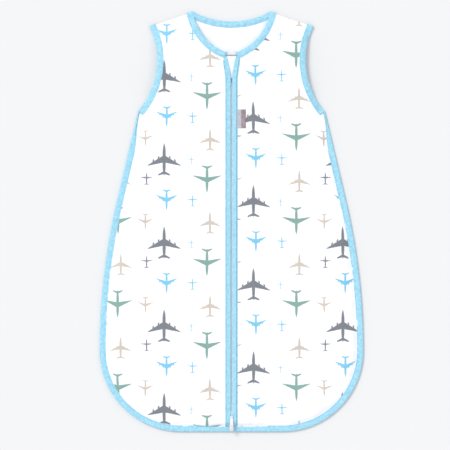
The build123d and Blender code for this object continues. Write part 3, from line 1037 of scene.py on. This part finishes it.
for side, (line, turn) in zip(("left", "right"), both_sides(armhole_line)):
    front_run = binding_run(
        line, turn, front_height, sheet_under_front, binding_width, seed=4.0 + turn, clip=shoulder_cut
    )
    back_run = binding_run(
        line, turn, back_top, back_height, binding_width, seed=6.0 + turn, clip=shoulder_cut
    )
    armhole_tape = binding(
        f"armhole_tape_{side}", [front_run, back_run], [f"armhole_binding_{side}"], stitch_rows
    )

zip_binding_width = 4.9 * MM
zip_run_line = joined(along(zip_line, [0.013]), zip_line[1:])
for side, (line, turn) in zip(("left", "right"), both_sides(zip_run_line)):
    run = binding_run(
        line, -turn, front_height, front_under, zip_binding_width, folding=lip_fold, seed=8.0 + turn
    )
    zip_tape_fold = binding(f"zip_binding_tape_{side}", [run], [f"zip_binding_{side}"], stitch_rows)

neck_runs = []
neck_overlap = 0.5 * MM


def over_zip_binding(points):
    """The neck binding crosses the ends of the zip bindings."""
    return front_height(points) + neck_overlap * (1 - ease(np.abs(points[:, 0]), 14 * MM, 24 * MM))


neck_from_lip = whole_front_neck[whole_front_neck[:, 0] > neck_flat + 0.2 * MM]
for line, turn in both_sides(neck_from_lip):
    run = binding_run(
        line, -turn, over_zip_binding, sheet_under_front, binding_width, seed=12.0 + turn, clip=shoulder_cut
    )
    neck_runs.append(run)
whole_back_neck = joined((back_neck_line * (-1, 1))[::-1], back_neck_line)
past_neck = whole_back_neck[-1] + (whole_back_neck[-1] - whole_back_neck[-2]) * 2.5
past_neck_line = joined(past_neck * (-1, 1), whole_back_neck, past_neck)
neck_runs.append(
    binding_run(past_neck_line, -1, back_top, back_height, binding_width, seed=15.0, clip=shoulder_cut)
)
neck_tape = binding("neck_binding_tape", neck_runs, ["neck_binding"], stitch_rows)


# --- Repeated pieces: stitches and zip coil -----------------------------------------------------

def new_tree(name, inputs):
    """An empty geometry tree with a Geometry input, named inputs and a Geometry output."""
    tree = bpy.data.node_groups.new(name, "GeometryNodeTree")
    tree.interface.new_socket("Geometry", in_out="INPUT", socket_type="NodeSocketGeometry")
    for socket, kind, value in inputs:
        made = tree.interface.new_socket(socket, in_out="INPUT", socket_type=f"NodeSocket{kind}")
        if value is not None:
            made.default_value = value
    tree.interface.new_socket("Geometry", in_out="OUTPUT", socket_type="NodeSocketGeometry")
    return tree, tree.nodes.new("NodeGroupInput").outputs, tree.nodes.new("NodeGroupOutput").inputs


def finish_tree(tree, given, result, points, instance, rotation):
    """Puts the instance on the points, then makes it real and gives it its material."""
    placed = add_node(
        tree, "GeometryNodeInstanceOnPoints", Points=points, Instance=instance, Rotation=rotation
    )
    real = add_node(tree, "GeometryNodeRealizeInstances", Geometry=placed.outputs[0])
    coloured = add_node(tree, "GeometryNodeSetMaterial", Geometry=real.outputs[0], Material=given["Material"])
    smooth = add_node(tree, "GeometryNodeSetShadeSmooth", Geometry=coloured.outputs[0])
    tree.links.new(smooth.outputs[0], result["Geometry"])
    return tree


def facing(tree):
    """A rotation whose X axis follows the line that the points are on."""
    tangent = add_node(tree, "GeometryNodeInputTangent")
    turned = add_node(tree, "FunctionNodeAlignRotationToVector", {"axis": "X"}, Vector=tangent.outputs[0])
    return turned.outputs[0]


def spaced_points(tree, given):
    """Points at an even pitch along every line of the geometry."""
    lines = add_node(tree, "GeometryNodeMeshToCurve", Mesh=given["Geometry"])
    return add_node(
        tree, "GeometryNodeResampleCurve", {"mode": "LENGTH"}, Curve=lines.outputs[0], Length=given["Pitch"]
    )


def stitch_tree():
    """Stitches of one length and thickness at an even pitch along every line."""
    tree, given, result = new_tree(
        "topstitching",
        [
            ("Pitch", "Float", 3 * MM), ("Length", "Float", 2.2 * MM), ("Thickness", "Float", 0.4 * MM),
            ("Material", "Material", None),
        ],
    )
    spaced = spaced_points(tree, given)
    bead = add_node(tree, "GeometryNodeMeshUVSphere", Segments=6, Rings=4, Radius=0.5)
    thickness = given["Thickness"]
    size = add_node(tree, "ShaderNodeCombineXYZ", i0=given["Length"], i1=thickness, i2=thickness)
    stitch = add_node(tree, "GeometryNodeTransform", Geometry=bead.outputs[0], Scale=size.outputs[0])
    return finish_tree(tree, given, result, spaced.outputs[0], stitch.outputs[0], facing(tree))


def coil_tree():
    """A nylon coil: one loop at each pitch, open towards the tape and rounded towards the zip's middle."""
    tree, given, result = new_tree(
        "zip_coil",
        [
            ("Pitch", "Float", 1.6 * MM), ("Reach", "Float", 1.9 * MM), ("Height", "Float", 0.75 * MM),
            ("Strand", "Float", 0.28 * MM), ("Material", "Material", None),
        ],
    )
    spaced = spaced_points(tree, given)
    loop = add_node(
        tree, "GeometryNodeCurveArc", Resolution=9, Radius=1.0, Start_Angle=-math.pi / 2, Sweep_Angle=math.pi
    )
    size = add_node(tree, "ShaderNodeCombineXYZ", i0=given["Reach"], i1=given["Height"], i2=1.0)
    flat_loop = add_node(tree, "GeometryNodeTransform", Geometry=loop.outputs[0], Scale=size.outputs[0])
    upright = add_node(
        tree, "GeometryNodeTransform", Geometry=flat_loop.outputs[0], Rotation=(math.pi / 2, 0.0, math.pi / 2)
    )
    strand = add_node(tree, "GeometryNodeCurvePrimitiveCircle", Resolution=6, Radius=given["Strand"])
    solid = add_node(
        tree, "GeometryNodeCurveToMesh",
        Curve=upright.outputs[0], Profile_Curve=strand.outputs[0], Fill_Caps=True,
    )
    return finish_tree(tree, given, result, spaced.outputs[0], solid.outputs[0], facing(tree))


def repeat_along(name, lines, tree, **values):
    """A plain mesh of what a geometry tree puts along lines of points."""
    vertices = np.concatenate(lines)
    edges, start = [], 0
    for line in lines:
        edges += [(start + k, start + k + 1) for k in range(len(line) - 1)]
        start += len(line)
    mesh = bpy.data.meshes.new(name)
    mesh.from_pydata([tuple(v) for v in vertices], edges, [])
    piece = bpy.data.objects.new(name, mesh)
    bpy.context.scene.collection.objects.link(piece)
    modifier = piece.modifiers.new("repeat", "NODES")
    modifier.node_group = tree
    sockets = {s.name: s.identifier for s in tree.interface.items_tree if s.in_out == "INPUT"}
    for socket, value in values.items():
        modifier[sockets[socket]] = value
    return baked(piece)


topstitching = stitch_tree()
stitches = repeat_along("binding_topstitching", stitch_rows, topstitching, Material=thread)
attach(stitches, "bag")

zip_coil = coil_tree()
coil_z = (tooth_low.z + tooth_high.z) / 2
coil_pitch = 1.6 * MM
coil_root = tooth_high.x
coil_rows = {
    "left": (coil_root, tooth_low.y, tooth_high.y),
    "right": (-coil_root, other_tooth_high.y, tooth_low.y + coil_pitch / 2),
}
for side, (x, start_y, end_y) in coil_rows.items():
    row = np.array([(x, start_y, coil_z), (x, end_y, coil_z)])
    coil = repeat_along(f"zip_coil_{side}", [row], zip_coil, Pitch=coil_pitch, Material=coil_nylon)
    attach(coil, "bag")
    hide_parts(f"zip_teeth_{side}")


# --- Flat strips: zip tapes, guard, label -------------------------------------------------------

def strip(name, across, along_y, height, thickness, material):
    """A closed strip of cloth along the zip, whose height is given by a function of x and y."""
    columns = np.asarray(across)
    rows = np.asarray(along_y)
    x, y = np.meshgrid(columns, rows)
    flat = np.stack((x, y), -1).reshape(-1, 2)
    z = height(flat)
    order = np.arange(len(flat)).reshape(len(rows), len(columns))
    cloth = flat - flat.min(0)
    piece = make_mesh(name, np.column_stack((flat, z)), grid_faces(order), [material], cloth)
    thickened(piece, thickness)
    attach(piece, "bag")
    return piece


rows_along_zip = np.linspace(tape_low.y, zip_top, 190)
for side, sign in (("left", 1), ("right", -1)):
    edges = np.sort(sign * np.linspace(tape_low.x, tape_high.x, 9))
    woven_tape = strip(
        f"zip_tape_woven_{side}", edges, rows_along_zip,
        lambda p: tape_high.z - 0.1 * MM + 0.08 * MM * rough(p, 20 * MM, 5.1), 0.45 * MM, tape_cloth,
    )
    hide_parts(f"zip_tape_{side}")

guard_lift = 3.0 * MM


def guard_height(points):
    """The guard lies below the zip and comes up behind the V at the neck."""
    lift = guard_lift * ease(points[:, 1], zip_top + 4 * MM, front_neck - 4 * MM)
    return guard_high.z + lift + 0.35 * MM * rough(points, 30 * MM, 8.8)


guard = strip(
    "zip_guard_flap", np.linspace(guard_low.x, guard_high.x - 0.6 * MM, 19),
    np.linspace(guard_low.y, guard_high.y - 0.8 * MM, 200), guard_height, 0.5 * MM, lining,
)
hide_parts("zip_guard")
# The guard's brownish top edge: a thin strip whose colour is painted shadow
guard_rim = strip(
    "zip_guard_rim", np.linspace(guard_low.x, guard_high.x - 0.6 * MM, 19),
    np.linspace(guard_high.y - 1.9 * MM, guard_high.y, 5),
    lambda p: guard_height(p) + 0.3 * MM, 1.0 * MM, guard_edge_shadow_cloth,
)


# --- Label ------------------------------------------------------------------------------------

def lie_on(piece_names, points, start=0.04):
    """Heights at which points from above meet the pieces."""
    graph = bpy.context.evaluated_depsgraph_get()
    trees = [BVHTree.FromObject(bpy.data.objects[name], graph) for name in piece_names]
    heights = []
    for x, y in points:
        hits = [tree.ray_cast(Vector((x, y, start)), Vector((0, 0, -1)))[0] for tree in trees]
        heights.append(max(hit.z for hit in hits if hit is not None))
    return np.array(heights)


label_columns = np.linspace(label_low.x - 3 * MM, label_high.x, 14)
label_rows = np.linspace(label_low.y, label_high.y, 26)


def label_height(points):
    lying = lie_on(["front_left"], points)
    curl = 0.5 * MM * ease(points[:, 0], label_low.x + 4 * MM, label_high.x) ** 2
    return lying + 0.75 * MM + curl


label = strip("side_label_ribbon", label_columns, label_rows, label_height, 0.6 * MM, ribbon)
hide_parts("side_label")


# --- Zip hardware -------------------------------------------------------------------------------

def wear(node, material):
    """A CAD node that is shown as it is gets its finish."""
    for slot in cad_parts[node].material_slots:
        slot.material = material


for node in ("zip_slider", "zip_pull_head", "zip_end_stops"):
    wear(node, lacquer)
for node in ("zip_insertion_pin", "zip_retainer_box"):
    wear(node, zip_plastic)


def moulded_tab():
    """The soft tab on the pull: rounded, thinner in its middle, with four grip ribs."""
    width, length, height = (tab_high[k] - tab_low[k] for k in range(3))
    columns, rows = 13, 27
    s, t = np.meshgrid(np.linspace(-1, 1, columns), np.linspace(-1, 1, rows))
    corner = np.sqrt(1 - 0.5 * np.abs(t) ** 6)
    x = s * corner * width / 2
    y = t * length / 2
    edge = np.maximum(np.abs(s), np.abs(t))
    dome = np.sqrt(np.clip(1 - edge**5, 0, 1))
    ribbed = (np.abs(s) < 0.75) * (np.abs(t) < 0.72)
    ribs = 0.14 * (0.5 + 0.5 * np.cos(np.clip(t, -0.7, 0.7) / 0.7 * 4 * math.pi)) * ribbed
    z = (0.72 + ribs) * dome * height / 2
    middle = (tab_low + tab_high) / 2
    top = np.stack((x + middle.x, y + middle.y, z + middle.z), -1).reshape(-1, 3)
    bottom = np.stack((x + middle.x, y + middle.y, middle.z - z), -1).reshape(-1, 3)
    upper_faces, lower_faces, inside = closed_faces(edge >= 1)
    vertices = np.concatenate((top, bottom[inside]))
    faces = np.concatenate((upper_faces, lower_faces))
    piece = make_mesh("zip_pull_tab_moulded", vertices, faces, [soft_tab])
    rounded(piece)
    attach(piece, "pull")
    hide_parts("zip_pull_tab")
    return piece


moulded_tab()


# --- Room, light and camera ---------------------------------------------------------------------

floor_size = 6.0
floor_mesh_corners = [(-floor_size, -floor_size, -0.0004), (floor_size, -floor_size, -0.0004),
                      (floor_size, floor_size, -0.0004), (-floor_size, floor_size, -0.0004)]
floor_material, _, floor_shader = new_material("pale_floor", Roughness=0.9, Specular_IOR_Level=0.1)
floor_shader.inputs["Base Color"].default_value = paint(222, 222, 222)
floor = make_mesh("floor", floor_mesh_corners, [(0, 1, 2, 3)], [floor_material])

world = bpy.data.worlds.new("studio")
bpy.context.scene.world = world
world.use_nodes = True
world.node_tree.nodes["Background"].inputs["Color"].default_value = (0.97, 0.975, 1.0, 1.0)
world.node_tree.nodes["Background"].inputs["Strength"].default_value = 0.95


key_direction = Vector((0.9, -0.9, -1.4))      # from the upper left of the view, down
key_data = bpy.data.lights.new("key_light", "SUN")
key_data.angle = math.radians(18)
key_data.energy = 1.47
key_light = bpy.data.objects.new("key_light", key_data)
key_light.rotation_euler = key_direction.to_track_quat("-Z", "Y").to_euler()
bpy.context.scene.collection.objects.link(key_light)

camera_height = 3.0
view_width = 0.750
view_centre = (-10.8 * MM, -5.8 * MM)
camera_data = bpy.data.cameras.new("camera")
camera_data.sensor_width = 36
camera_data.lens = camera_data.sensor_width * camera_height / view_width
camera = bpy.data.objects.new("camera", camera_data)
camera.location = (*view_centre, camera_height)
bpy.context.scene.collection.objects.link(camera)
bpy.context.scene.camera = camera
bpy.context.scene.view_settings.view_transform = "Standard"
